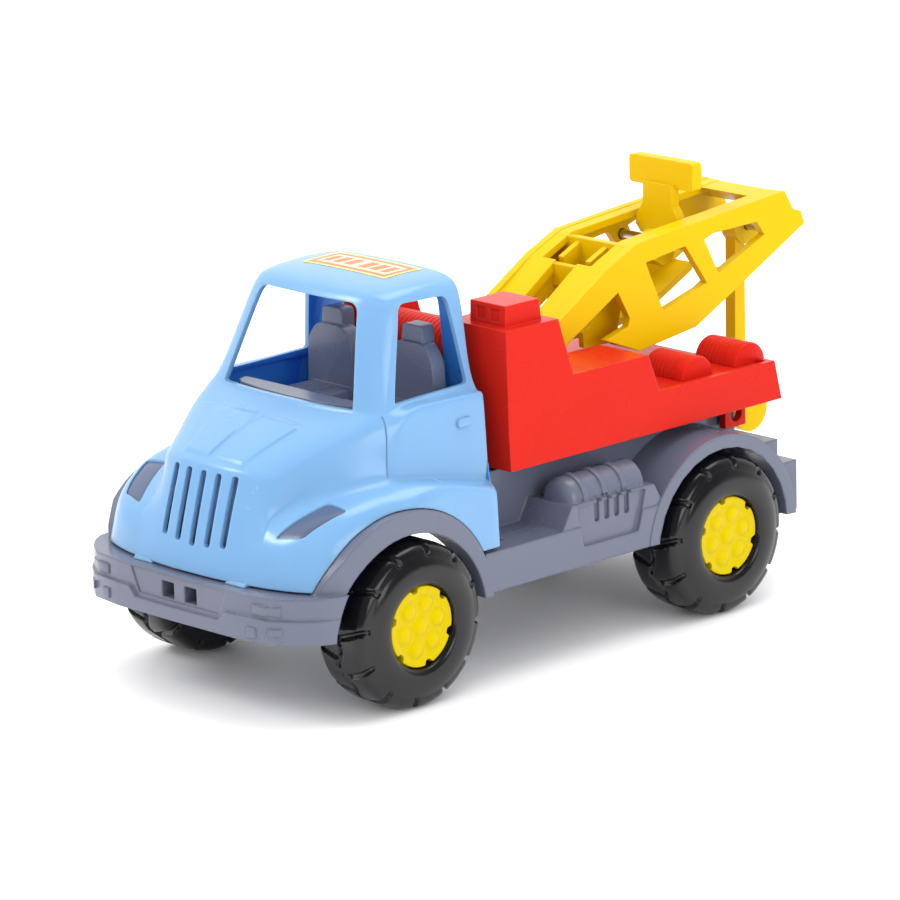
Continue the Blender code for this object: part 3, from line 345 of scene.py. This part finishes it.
# Half the cab's outer surface: rows from the nose over the roof to the rear wall, each from the
# middle out to the lower edge.
CAB_ROWS = [
    [(0, -124.5, 46.4), (11, -124.3, 46.4), (20, -123.5, 46.4), (26, -122.7, 46.4),
     (30, -122, 46.4), (33.5, -121.3, 46.4), (37, -120.5, 46.4), (41, -119.3, 46.4),
     (46, -117.6, 46.4), (51.5, -114.5, 46.4), (56, -109.5, 46.4)],
    [(0, -120.5, 62), (10, -120.3, 62), (18, -119.5, 61.5), (22.5, -118.6, 61), (25.5, -118.5, 60),
     (28, -118.4, 59.5), (31, -118.4, 59), (35.5, -118, 58.5), (45, -116, 58.5), (53, -110.5, 56.5),
     (57.5, -105.5, 49)],
    [(0, -117, 74), (9.8, -116.8, 74), (17.6, -115.8, 73.6), (22.2, -113.9, 73.2),
     (24.6, -112, 72.5), (26, -111.5, 71), (27.8, -112.8, 66), (33, -115.3, 62.3),
     (46, -112.8, 64.5), (54.5, -106.5, 61.5), (58.5, -101.5, 48.5)],
    [(0, -114.5, 82.3), (9.8, -114.3, 82.2), (17, -113, 81.7), (22.8, -111.4, 81),
     (26.4, -109.8, 79.2), (28.4, -108.2, 75.6), (29, -107.2, 70), (34.5, -108.5, 67),
     (47.5, -106, 69), (56, -100, 66), (59.5, -96, 48)],
    [(0, -105, 87.2), (10.8, -104.8, 87.1), (20, -103.9, 86.6), (26, -102.6, 85.9),
     (30, -101.3, 83.8), (32, -100.1, 79.7), (33.7, -99, 73.8), (38, -99.5, 70.6),
     (49.5, -98, 72.3), (57.8, -92.5, 69), (60.3, -88, 47.5)],
    [(0, -93, 92.4), (12.8, -92.9, 92.3), (23.6, -92.2, 91.8), (30.7, -91.3, 91.4),
     (35.6, -90.2, 89.8), (38.2, -89.1, 86), (40, -88.2, 78.8), (43, -88.5, 73.6),
     (52, -87.5, 74.2), (58.8, -82, 70.6), (60.3, -78, 47.5)],
    [(0, -82, 96.3), (14.3, -81.9, 96.3), (26.8, -81, 96), (34.8, -80, 96.1), (40.2, -78.6, 95.4),
     (43.4, -77, 93), (45.2, -75.8, 85.6), (47.2, -75.6, 76.3), (54, -75, 74.8), (59.4, -70, 71.2),
     (60.3, -66, 47.5)],
    [(0, -79.5, 97.4), (14, -79.3, 97.4), (25.5, -78.2, 97.3), (33.6, -76.6, 97.6),
     (38.9, -74, 98.5), (43.2, -72, 97.6), (46.7, -70.4, 94.4), (48.4, -67.5, 75.4),
     (56.4, -66, 75.1), (59.5, -60, 72.6), (60.2, -58, 47.5)],
    [(0, -67.4, 131.6), (12.5, -67.2, 131.6), (23, -66.6, 131.4), (30.2, -64.4, 131),
     (35.4, -59.5, 130.2), (41.3, -62, 99.6), (46.4, -61.6, 98.9), (48.8, -58.5, 74),
     (57.2, -58, 73.9), (59.6, -52, 71.4), (60, -50, 47.5)],
    [(0, -63.6, 136), (13, -63.4, 136), (24, -62.6, 135.7), (31, -60, 134.8), (35.4, -53.5, 131.2),
     (41.3, -52, 99.3), (46.4, -52, 98.6), (48.9, -50.5, 72.3), (57.5, -50, 72.2),
     (59.7, -46, 69.7), (60, -44, 47.5)],
    [(0, -52, 137.6), (14, -51.9, 137.5), (25.5, -51, 137), (32, -49, 135.6), (35.8, -45.5, 131.4),
     (41.3, -44, 99.1), (46.4, -43.5, 98.4), (48.9, -43, 70.8), (57.6, -43, 70.7),
     (59.8, -41, 68.2), (60, -40, 47.5)],
    [(0, -36, 137.9), (14.5, -36, 137.8), (26, -36, 137.3), (32.4, -36, 135.8), (36, -35.5, 131.4),
     (41.3, -35.6, 98.9), (46.4, -35.5, 98.2), (48.9, -35.5, 69.2), (57.5, -36.5, 69.1),
     (59.6, -37, 66.6), (60, -37, 47.5)],
    [(0, -27.6, 137.4), (14, -27.6, 137.3), (25.4, -27.6, 136.8), (31.6, -27.6, 135.2),
     (35.2, -27.6, 131), (41, -29.8, 98.7), (46, -28.4, 97.9), (48.6, -29.4, 67.8), (56, -34, 67.7),
     (58.5, -34.6, 65.2), (59.6, -34.8, 47.5)],
    [(0, -26, 134.5), (13.5, -26, 134.4), (24, -26, 134), (30, -26, 132.8), (33.2, -26, 129.6),
     (39.2, -28, 98.5), (43.9, -26.4, 96.8), (47, -28.9, 66.6), (54, -34.4, 65.4), (57, -35, 63),
     (57.5, -35, 47.5)],
    [(0, -26, 98), (13, -26, 98), (22, -26, 98), (28, -26, 97.5), (33, -26, 96.5),
     (38.5, -26.2, 94.5), (42.2, -26.8, 90), (45.2, -28.6, 62.5), (49.5, -33.4, 60.5),
     (54, -35, 60), (54.5, -35, 47.5)],
    [(0, -26, 47.5), (11, -26, 47.5), (18.5, -26, 47.5), (25, -26, 47.5), (30, -26, 47.5),
     (34, -26.1, 47.5), (38, -26.4, 47.5), (42, -27.2, 47.5), (45.5, -30.5, 47.5),
     (48, -34.2, 47.5), (50, -35, 47.5)],
]
# Where the surface turns more tightly: (column or row, its first and last crossing, sharpness).
COLUMN_CREASES = ((4, 3, 6, 0.35), (5, 7, 12, 0.5), (6, 1, 4, 0.45), (6, 7, 12, 0.6), (7, 6, 12, 0.85),
                  (9, 5, 12, 0.35))
ROW_CREASES = ((3, 0, 4, 0.4), (7, 0, 5, 0.5), (12, 0, 9, 0.5))
SHELL = 2.0
# The tight fold where door, ledge and rear wall meet, and where the thinner wall round it ends.
FOLD = (49.0, -29.5, 67.0)
FOLD_REACH = (6.0, 14.0)
FOLD_THICKNESS = 0.15

# Openings: outline, corner radii, and how far the cutter reaches along its axis.
WINDSCREEN = [(-32.4, 98.2), (32.4, 98.2), (24.1, 131.8), (-24.1, 131.8)]
WINDSCREEN_CORNERS = (1.2, 1.2, 4.0, 4.0)
WINDSCREEN_CUT = (-100, -58)
REAR_WINDOW = [(-27.0, 101.0), (27.0, 101.0), (24.0, 130.0), (-24.0, 130.0)]
REAR_WINDOW_CORNER = 5.0
REAR_WINDOW_CUT = (-34, -20)
SIDE_WINDOW = [(-65.9, 99.6), (-30.9, 100.4), (-34.4, 131.0), (-55.8, 131.4)]
SIDE_WINDOW_CORNERS = (1.2, 1.6, 3.2, 3.2)
SIDE_WINDOW_CUT = (20.0, 70.0)
FRONT_RIM_CENTRE = (-78.6, 29.2)
FRONT_RIM_RADIUS = 39.3
ARCH_GAP = 0.3
ARCH_CUT = (36.0, 70.0)
HEADLIGHT = [(34.0, -115.1), (37.0, -107.0), (41.0, -96.3), (50.7, -96.9), (47.5, -106.0), (44.8, -112.2)]
HEADLIGHT_CORNER = 2.0
HEADLIGHT_CUT = (54, 80)
GRILLE_PITCH = 7.3
GRILLE_SLOT = 3.0
GRILLE_CORNER = 1.4
GRILLE_BOTTOM = 54.8
GRILLE_BOTTOM_RISE = 0.7
GRILLE_TOP = 79.8
GRILLE_CUT = (-130, -103)

# Details: the hood panel in X and Y, handle and tab in Y and Z, grille wall in X and Z.
HOOD_PANEL = [(1.4, -112.0), (15.1, -111.1), (21.0, -88.5), (1.4, -88.0)]
HOOD_PANEL_HEIGHT = 0.8
HOOD_PANEL_FADE = (-86.0, -92.0)
DOOR_LINE_FOOT = (-75.2, 77.0)
DOOR_LINE_STEP = (0.35, 2.5)
DOOR_HANDLE = [(-42.6, 88.0), (-36.2, 88.3), (-36.2, 91.2), (-42.6, 90.9)]
CAB_TAB = [(-124.0, 45.7), (-121.2, 45.7), (-121.0, 46.9), (-123.2, 46.9)]
CAB_TAB_REACH = (18.7, 27.9)
GRILLE_WALL = [(-23.5, 48.0), (23.5, 48.0), (22.0, 79.0), (-22.0, 79.0)]
GRILLE_WALL_REACH = (-107.5, -106.0)
# Bumper blocks: X from and to, Z from and to.
BUMPER_BLOCKS = ((36.4, 47.0, 39.5, 43.0), (35.0, 38.6, 31.5, 35.0), (43.9, 47.8, 33.0, 35.7))
# Lamp lens rings from its back edge to its middle: share of the outline, depth below the fender.
LENS_RINGS = ((0.985, 2.2), (0.985, 0.75), (0.93, 0.6), (0.6, 0.55), (0.25, 0.55))
# Label: where its printed rim, frame and bars begin and end across and along the roof.
LABEL_X = [-20.5, -19.3, -17.2, -16.0, -12.5, -11.3, -7.0, -5.8, -1.5,
           1.5, 5.8, 7.0, 11.3, 12.5, 16.0, 17.2, 19.3, 20.5]
LABEL_Y = [-49.5, -48.3, -46.0, -44.4, -42.6, -38.4, -36.6, -35.0, -32.7, -31.5]
LABEL_LIFT = 0.12


def inside_depth(outline, x, y):
    """Distance inwards from an anticlockwise outline's nearest side; negative outside."""
    depth = math.inf
    for (x0, y0), (x1, y1) in zip(outline, outline[1:] + outline[:1]):
        length = math.hypot(x1 - x0, y1 - y0)
        depth = min(depth, ((x1 - x0) * (y - y0) - (y1 - y0) * (x - x0)) / length)
    return depth


def cab_cage():
    """The cab's coarse cage, both halves, with its creased edges."""
    mesh_data = bmesh.new()
    lines = []
    for row in CAB_ROWS:
        left = [mesh_data.verts.new((-x, y, z)) for x, y, z in reversed(row[1:])]
        lines.append(left + [mesh_data.verts.new(point) for point in row])
    for one, two in zip(lines, lines[1:]):
        for i in range(len(one) - 1):
            mesh_data.faces.new((one[i], one[i + 1], two[i + 1], two[i]))
    crease = mesh_data.edges.layers.float.new("crease_edge")
    middle = len(CAB_ROWS[0]) - 1
    for _, side in SIDES:
        for column, first, last, sharpness in COLUMN_CREASES:
            for i in range(first, last):
                ends = (lines[i][middle + side * column], lines[i + 1][middle + side * column])
                mesh_data.edges.get(ends)[crease] = sharpness
        for row, first, last, sharpness in ROW_CREASES:
            for i in range(first, last):
                ends = (lines[row][middle + side * i], lines[row][middle + side * (i + 1)])
                mesh_data.edges.get(ends)[crease] = sharpness
    return mesh_data


def cab_sheet(levels):
    """The cab's outer surface as a smooth open sheet, with the two raised hood panels."""
    cage = new_object("cab_cage", mesh_from("cab_cage", cab_cage()))
    smooth = applied(cage, ("SUBSURF", {"levels": levels, "render_levels": levels}))
    bpy.data.objects.remove(cage, do_unlink=True)
    sheet = bmesh.new()
    sheet.from_mesh(smooth)
    for vertex in sheet.verts:
        x, y, z = vertex.co
        if z > 70 and y < -84:
            depth = inside_depth(HOOD_PANEL, abs(x), y)
            fade = smoothstep(*HOOD_PANEL_FADE, y)
            vertex.co.z += HOOD_PANEL_HEIGHT * fade * smoothstep(0.0, 0.6, depth)
    return sheet


def door_line(tree, side):
    """Cutter for the shallow upright groove at the door's front edge."""
    rings = []
    for step in range(9):
        y, z = (foot + rise * step for foot, rise in zip(DOOR_LINE_FOOT, DOOR_LINE_STEP))
        x = tree.ray_cast(Vector((side * OUTSIDE, y, z)), Vector((-side, 0.0, 0.0)))[0].x
        rings.append([(x + side * across, y + along, z)
                      for across, along in ((-0.4, -0.25), (-0.4, 0.25), (2.0, 0.25), (2.0, -0.25))])
    return loft(rings)


def raised(name, tree, outline, start, direction, height, material, node):
    """A low pad with this outline, lying on the surface that a ray from the start plane meets."""
    centre = middle_of(outline)
    heading = Vector(direction)
    rings = []
    for share, lift in ((1.0, -0.8), (1.0, height * 0.6), (0.9, height)):
        ring = []
        for point in outline:
            u, v = centre + (Vector(point) - centre) * share
            origin = Vector((start, u, v)) if heading.x else Vector((u, start, v))
            ring.append(tree.ray_cast(origin, heading)[0] - heading * lift)
        rings.append(ring)
    make_piece(name, loft(rings), material, "truck", (node,))


def build_cab_details(tree):
    """Door handles, the two tabs that reach down to the bumper, and the wall behind the grille."""
    for name, side in SIDES:
        handle = rounded_outline(DOOR_HANDLE, 1.2)
        raised(f"door_handle_{name}", tree, handle, side * OUTSIDE, (-side, 0.0, 0.0), 1.1, BLUE,
               "cab_shell")
        tab = side_prism(CAB_TAB, side, *CAB_TAB_REACH)
        make_piece(f"cab_tab_{name}", tab, BLUE, "truck", ("cab_shell",))
    wall = prism(GRILLE_WALL, *GRILLE_WALL_REACH, "y")
    make_piece("grille_wall", wall, BLUE, "truck", ("cab_shell",))


def build_bumper_details():
    """The small raised blocks at the bumper's ends."""
    mesh_data = bmesh.new()
    mesh_data.from_mesh(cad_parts["chassis"].data)
    for vertex in mesh_data.verts:
        vertex.co = vertex.co / MM - SHIFT
    tree = BVHTree.FromBMesh(mesh_data)
    mesh_data.free()
    for name, side in SIDES:
        for number, (x0, x1, z0, z1) in enumerate(BUMPER_BLOCKS, 1):
            middle = (x0 + x1) / 2
            outline = [(side * x, z) for x, z in ((x0, z0), (middle, z0), (x1, z0),
                                                  (x1, z1), (middle, z1), (x0, z1))]
            raised(f"bumper_block_{name}_{number}", tree, outline, -OUTSIDE, (0.0, 1.0, 0.0), 0.7,
                   GREY, "chassis")


def cab_cutters(tree):
    """Solids for the windows, arches, lamp openings, grille slots and door lines."""
    cutters = [prism(rounded_outline(WINDSCREEN, WINDSCREEN_CORNERS), *WINDSCREEN_CUT, "y"),
               prism(rounded_outline(REAR_WINDOW, REAR_WINDOW_CORNER), *REAR_WINDOW_CUT, "y")]
    for _, side in SIDES:
        window = rounded_outline(SIDE_WINDOW, SIDE_WINDOW_CORNERS)
        cutters.append(side_prism(window, side, *SIDE_WINDOW_CUT))
        arch = circle(FRONT_RIM_CENTRE, FRONT_RIM_RADIUS + ARCH_GAP, 96)
        cutters.append(side_prism(arch, side, *ARCH_CUT))
        lamp = rounded_outline([(side * x, y) for x, y in HEADLIGHT], HEADLIGHT_CORNER)
        cutters.append(prism(lamp, *HEADLIGHT_CUT, "z"))
    for i in range(-2, 3):
        left, right = i * GRILLE_PITCH - GRILLE_SLOT / 2, i * GRILLE_PITCH + GRILLE_SLOT / 2
        bottom = GRILLE_BOTTOM + GRILLE_BOTTOM_RISE * abs(i)
        slot = [(left, bottom), (right, bottom), (right, GRILLE_TOP), (left, GRILLE_TOP)]
        cutters.append(prism(rounded_outline(slot, GRILLE_CORNER), *GRILLE_CUT, "y"))
    cutters += [door_line(tree, side) for _, side in SIDES]
    for cutter in cutters:
        bmesh.ops.recalc_face_normals(cutter, faces=cutter.faces)
    return cutters


def build_cab():
    """The cab's shell with its openings; returns its uncut outer surface for rays."""
    sheet = cab_sheet(4)
    tree = BVHTree.FromBMesh(sheet)
    mesh = mesh_from("cab_sheet", sheet)
    # The solidified inner faces take the second material, the blue with painted shade for the light inside
    # the cab.
    for material in (BLUE, BLUE_PAINTED_SHADE):
        mesh.materials.append(material)
    shell = new_object("cab_sheet", mesh)
    wall = shell.vertex_groups.new(name="wall")
    for vertex in mesh.vertices:
        x, y, z = vertex.co
        away = (Vector((abs(x), y, z)) - Vector(FOLD)).length
        wall.add([vertex.index], smoothstep(*FOLD_REACH, away), "REPLACE")
    tool = new_object("cab_tool", mesh_from("cab_tool", merged(cab_cutters(tree))))
    cut = applied(
        shell,
        ("SOLIDIFY", {"thickness": SHELL, "offset": -1.0, "material_offset": 1, "vertex_group": "wall",
                      "thickness_vertex_group": FOLD_THICKNESS}),
        ("BOOLEAN", {"operation": "DIFFERENCE", "solver": "EXACT", "object": tool, "use_self": True}),
    )
    bpy.data.objects.remove(tool, do_unlink=True)
    bpy.data.objects.remove(shell, do_unlink=True)
    cab = bmesh.new()
    cab.from_mesh(cut)
    make_piece("cab_look", cab, (BLUE, BLUE_PAINTED_SHADE), "truck", ("cab_shell",), 40.0)
    return tree


def surface_z(tree, x, y):
    return tree.ray_cast(Vector((x, y, OUTSIDE)), Vector((0.0, 0.0, -1.0)))[0].z


def build_headlights(tree):
    """Lamp lenses that follow the fender just below its surface."""
    centre = middle_of(HEADLIGHT)
    edge = rounded_outline(HEADLIGHT, HEADLIGHT_CORNER)
    for name, side in SIDES:
        rings = []
        for share, drop in LENS_RINGS:
            points = [centre + (Vector(corner) - centre) * share for corner in edge]
            rings.append([(side * x, y, surface_z(tree, x, y) - drop) for x, y in points])
        make_piece(f"headlight_{name}_look", loft(rings), LENS, "truck", (f"headlight_{name}",))


def build_label(tree):
    """Roof label: a printed card with plain bars, laid on the roof's crown."""
    mesh_data = bmesh.new()
    grid = [[mesh_data.verts.new((x, y, surface_z(tree, x, y) + LABEL_LIFT)) for y in LABEL_Y]
            for x in LABEL_X]
    last_i = len(LABEL_X) - 2
    last_j = len(LABEL_Y) - 2
    for i in range(last_i + 1):
        for j in range(last_j + 1):
            face = mesh_data.faces.new((grid[i][j], grid[i + 1][j], grid[i + 1][j + 1], grid[i][j + 1]))
            rim = i in (0, last_i) or j in (0, last_j)
            frame_line = i in (1, last_i - 1) or j in (1, last_j - 1)
            bar = i % 2 == 1 and 3 <= j <= 5
            face.material_index = 1 if rim else 0 if frame_line or bar else 2
    papers = (PAPER_RED, PAPER_GOLD, PAPER_CREAM)
    make_piece("roof_label_look", mesh_data, papers, "truck", ("roof_sticker",))


# ---------------------------------------------------------------- wheels

TYRE_INNER_X = 38.1
TYRE_OUTER_X = 63.6
TYRE_RADIUS = 28.75
LUGS = 12
GROOVE_DEPTH = 1.5
SHOULDER_NOTCH = 0.35
TYRE_PROFILE = [
    # distance from the tyre's middle plane, radius, how far the grooves reach in
    (8.6, 14.5, 0.0), (11.0, 14.5, 0.0), (12.0, 14.9, 0.0), (12.5, 15.9, 0.0), (12.72, 17.2, 0.0),
    (12.75, 18.8, 0.0), (12.6, 20.6, 0.0), (12.2, 22.4, 0.0), (11.75, 23.7, 0.0), (11.45, 24.3, 0.0),
    (11.3, 24.8, 0.5), (11.2, 25.3, 1.0), (11.0, 26.0, 1.0), (10.6, 26.8, 1.0), (10.0, 27.5, 1.0),
    (9.2, 28.05, 1.0), (8.2, 28.4, 1.0), (7.0, 28.6, 1.0), (5.6, 28.7, 1.0), (4.4, 28.74, 1.0),
    (3.4, 28.75, 1.0), (2.6, 28.75, 1.0), (1.9, 28.75, 1.0), (1.3, 28.75, 1.0), (0.8, 28.75, 1.0),
    (0.4, 28.75, 1.0), (0.0, 28.75, 1.0),
]
HUB_RADIUS = 14.2
HUB_BACK_X = 45.0
HUB_RIM_X = 60.9
HUB_FACE_X = 61.3
HUB_TURN = 12.0
HUB_LIP = 0.5
NOTCH_DEPTH = 1.7
STUD_RADIUS = 3.3
STUD_RING = 8.1


def groove(x, angle):
    """How deep the tread is cut at this place, from 0 on a lug to 1 in a groove."""
    pitch = 2 * math.pi / LUGS
    zigzag = 1.5 * math.sin(angle * LUGS)
    outer = x > zigzag
    turn = angle + (0.5 * pitch if outer else 0.0) + 0.012 * abs(x)
    phase = abs((turn / pitch) % 1.0 - 0.5) * pitch * TYRE_RADIUS
    across = 1.0 - smoothstep(0.7, 1.3, phase)
    middle = 1.0 - smoothstep(0.5, 1.0, abs(x - zigzag))
    return max(across, middle)


def build_tyre(name, side, y, body, node):
    steps = 360
    middle = (TYRE_INNER_X + TYRE_OUTER_X) / 2
    profile = TYRE_PROFILE + [(-x, r, cut) for x, r, cut in reversed(TYRE_PROFILE[:-1])]
    rings = []
    for i in range(steps):
        angle = 2 * math.pi * i / steps
        ring = []
        for x, radius, cut in profile:
            depth = cut * groove(x, angle)
            r = radius - GROOVE_DEPTH * depth
            inwards = SHOULDER_NOTCH * depth if abs(x) > 9 else 0.0
            across = side * (middle + x - math.copysign(inwards, x))
            ring.append((across, y + r * math.cos(angle), AXLE_Z + r * math.sin(angle)))
        rings.append(ring)
    make_piece(name, loft(rings, close_ends=False), BLACK, body, (node,), 50.0)


def notch(angle):
    """How far the hub's edge is cut in at this angle: six notches."""
    phase = abs(((math.degrees(angle) - HUB_TURN - 30) / 60 + 0.5) % 1.0 - 0.5) * 60
    return NOTCH_DEPTH * (1.0 - smoothstep(4.0, 7.5, phase))


def stud_rise(studs, a, b):
    """Height of the round studs above the hub's face at this place."""
    for u, v in studs:
        distance = math.hypot(a - u, b - v)
        if distance < STUD_RADIUS:
            return math.sqrt(1 - (distance / STUD_RADIUS) ** 2)
    return 0.0


def build_hub(name, side, y, body, node):
    """Yellow wheel disc: seven round studs on its face and six notches in its edge."""
    sides = 144
    angles = [2 * math.pi * i / sides for i in range(sides)]
    turns = [math.radians(60 * k + HUB_TURN) for k in range(6)]
    studs = [(0.0, 0.0)] + [(STUD_RING * math.cos(turn), STUD_RING * math.sin(turn)) for turn in turns]
    rings = []
    for x in (HUB_BACK_X, HUB_RIM_X):
        rings.append([(x, (HUB_RADIUS - notch(angle)) * math.cos(angle),
                       (HUB_RADIUS - notch(angle)) * math.sin(angle)) for angle in angles])
    for radius in [13.85, 13.4, 12.8] + [12.4 - 0.62 * k for k in range(20)] + [0.3]:
        ring = []
        for angle in angles:
            r = min(radius, HUB_RADIUS - 0.35 - notch(angle))
            a = r * math.cos(angle)
            b = r * math.sin(angle)
            lip = HUB_LIP * smoothstep(11.2, 12.2, r)
            ring.append((HUB_FACE_X + stud_rise(studs, a, b) + lip, a, b))
        rings.append(ring)
    mesh_data = loft([[(side * x, y + a, AXLE_Z + b) for x, a, b in ring] for ring in rings])
    bmesh.ops.remove_doubles(mesh_data, verts=mesh_data.verts, dist=1e-4)
    make_piece(name, mesh_data, HUB_YELLOW, body, (node,), 60.0)


# ---------------------------------------------------------------- tow body extras

# Drums: X from and to, Y, Z, radius between the ribs and on them, rib pitch, length of the plain end.
ROPE_DRUMS = [(22.9, 42.9, y, 81.4, 7.35, 8.0, 2.0, 4.0) for y in (80.2, 107.2)]
WINCH = (-21.6, 21.6, -11.0, 106.0, 8.5, 8.9, 2.2, 2.0)


def ribbed(x0, x1, y, z, valley, ridge, pitch, plain):
    """Drum along X with close round ribs and a plain end disc."""
    profile = [(x0, 0.5), (x0, valley)]
    x = x0
    while x < x1 - plain - pitch:
        profile += [(x + pitch * k / 6, valley + (ridge - valley) * math.sin(math.pi * k / 6) ** 0.7)
                    for k in range(1, 7)]
        x += pitch
    profile += [(x + 0.2, valley), (x + 0.5, ridge), (x1 - 0.7, ridge), (x1 - 0.2, ridge - 0.25),
                (x1, ridge - 0.9), (x1, 0.5)]
    return loft([[(px, *point) for point in circle((y, z), pr, 72)] for px, pr in profile])


def build_drums():
    for name, drums in (("rope_drums_look", ROPE_DRUMS), ("winch_look", [WINCH])):
        whole = merged([ribbed(*drum) for drum in drums])
        make_piece(name, whole, RED, "truck", (), 50.0)


# ---------------------------------------------------------------- studio

def build_floor():
    mesh_data = bmesh.new()
    bmesh.ops.create_grid(mesh_data, x_segments=2, y_segments=2, size=20.0)
    mesh = mesh_from("floor", mesh_data)
    material, tree, shader, place = new_material("pale_floor")
    mottle = noise(tree, place, 120.0, 4.0)
    tone = mixed(tree, mottle, (0.9, 0.9, 0.915, 1), (0.93, 0.93, 0.94, 1))
    tree.links.new(tone, shader.inputs["Base Color"])
    shader.inputs["Roughness"].default_value = 0.55
    mesh.materials.append(material)
    floor = new_object("floor", mesh)


def add_softbox(name, place, aim, width, height, power):
    light = bpy.data.lights.new(name, "AREA")
    light.shape = "RECTANGLE"
    light.size = width
    light.size_y = height
    light.energy = power
    obj = new_object(name, light)
    obj.location = place
    obj.rotation_euler = (Vector(aim) - Vector(place)).to_track_quat("-Z", "Y").to_euler()


def build_studio():
    """Floor, even white surroundings and three softboxes; places here are in metres."""
    build_floor()
    world = bpy.data.worlds.new("studio")
    bpy.context.scene.world = world
    world.use_nodes = True
    tree = world.node_tree
    backdrop = tree.nodes["Background"]
    backdrop.inputs[0].default_value = (1.0, 1.0, 1.0, 1.0)
    # Reflections see a white backdrop behind the truck and a darker room in front of it, so that
    # the softboxes stand out.
    glossy = tree.nodes.new("ShaderNodeLightPath").outputs["Is Glossy Ray"]
    direction = tree.nodes.new("ShaderNodeTexCoord").outputs["Generated"]
    behind = add_node(tree, "ShaderNodeVectorMath", {0: direction, 1: (-0.72, 0.69, 0.0)},
                      operation="DOT_PRODUCT")
    room = carried(tree, behind.outputs["Value"], -0.1, 0.6, 0.25, 1.3)
    strength = add_node(tree, "ShaderNodeMix", {0: glossy, 2: 1.5, 3: room})
    tree.links.new(strength.outputs[0], backdrop.inputs[1])
    add_softbox("key_softbox", (-1.2, -1.3, 1.6), (0.0, 0.0, 0.06), 0.6, 0.6, 15.0)
    add_softbox("side_softbox", (2.2, -0.2, 0.7), (0.0, 0.0, 0.06), 1.2, 0.9, 12.0)
    add_softbox("top_softbox", (0.2, 0.6, 2.1), (0.0, 0.0, 0.05), 1.4, 1.4, 20.0)
    view = bpy.context.scene.view_settings
    view.view_transform = "Standard"
    view.look = "None"


def build_camera():
    """Camera looking down at the truck's front left corner; the truck's origin lies off its centre."""
    azimuth = math.radians(46.306)
    elevation = math.radians(14.682)
    roll = math.radians(-1.399)
    # The focal length and the offset are in the same unit as the image's width.
    image_width = 900.0
    focal = 5531.0
    offset = (6.057, 174.817)
    distance = 1953.0
    back = Vector((math.sin(azimuth) * math.cos(elevation), -math.cos(azimuth) * math.cos(elevation),
                   math.sin(elevation)))
    right = Vector((math.cos(azimuth), math.sin(azimuth), 0.0))
    up = back.cross(right)
    right, up = (right * math.cos(roll) + up * math.sin(roll), up * math.cos(roll) - right * math.sin(roll))
    place = SHIFT + back * distance + (up * offset[1] - right * offset[0]) * (distance / focal)
    data = bpy.data.cameras.new("camera")
    data.sensor_width = 36.0
    data.lens = data.sensor_width * focal / image_width
    data.clip_end = 100.0
    camera = new_object("camera", data)
    matrix = Matrix((right, up, back)).transposed().to_4x4()
    matrix.translation = place * MM
    camera.matrix_world = matrix
    bpy.context.scene.camera = camera


def main():
    surface = build_cab()
    build_headlights(surface)
    build_label(surface)
    build_cab_details(surface)
    build_bumper_details()
    refined("chassis", GREY, "truck")
    refined("cab_interior", DARK, "truck")
    refined("tow_body", RED, "truck")
    build_drums()
    refined("boom", YELLOW, "boom")
    refined("boom_lever", YELLOW, "lever")
    refined("hook_arm", YELLOW, "hook")
    for end, y in (("front", FRONT_Y), ("rear", REAR_Y)):
        for name, side in SIDES:
            build_tyre(f"tyre_{end}_{name}_look", side, y, f"{end}_wheels", f"tyre_{end}_{name}")
            build_hub(f"hub_{end}_{name}_look", side, y, f"{end}_wheels", f"hub_{end}_{name}")
    for node in ("front_axle", "rear_axle", "boom_pin", "lever_pin", "hook_pin", "body_screw_1",
                 "body_screw_2", "body_screw_3", "body_screw_4", "cab_screw_1", "cab_screw_2"):
        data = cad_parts[node].data
        data.materials.clear()
        data.materials.append(STEEL)
    build_studio()
    build_camera()


main()
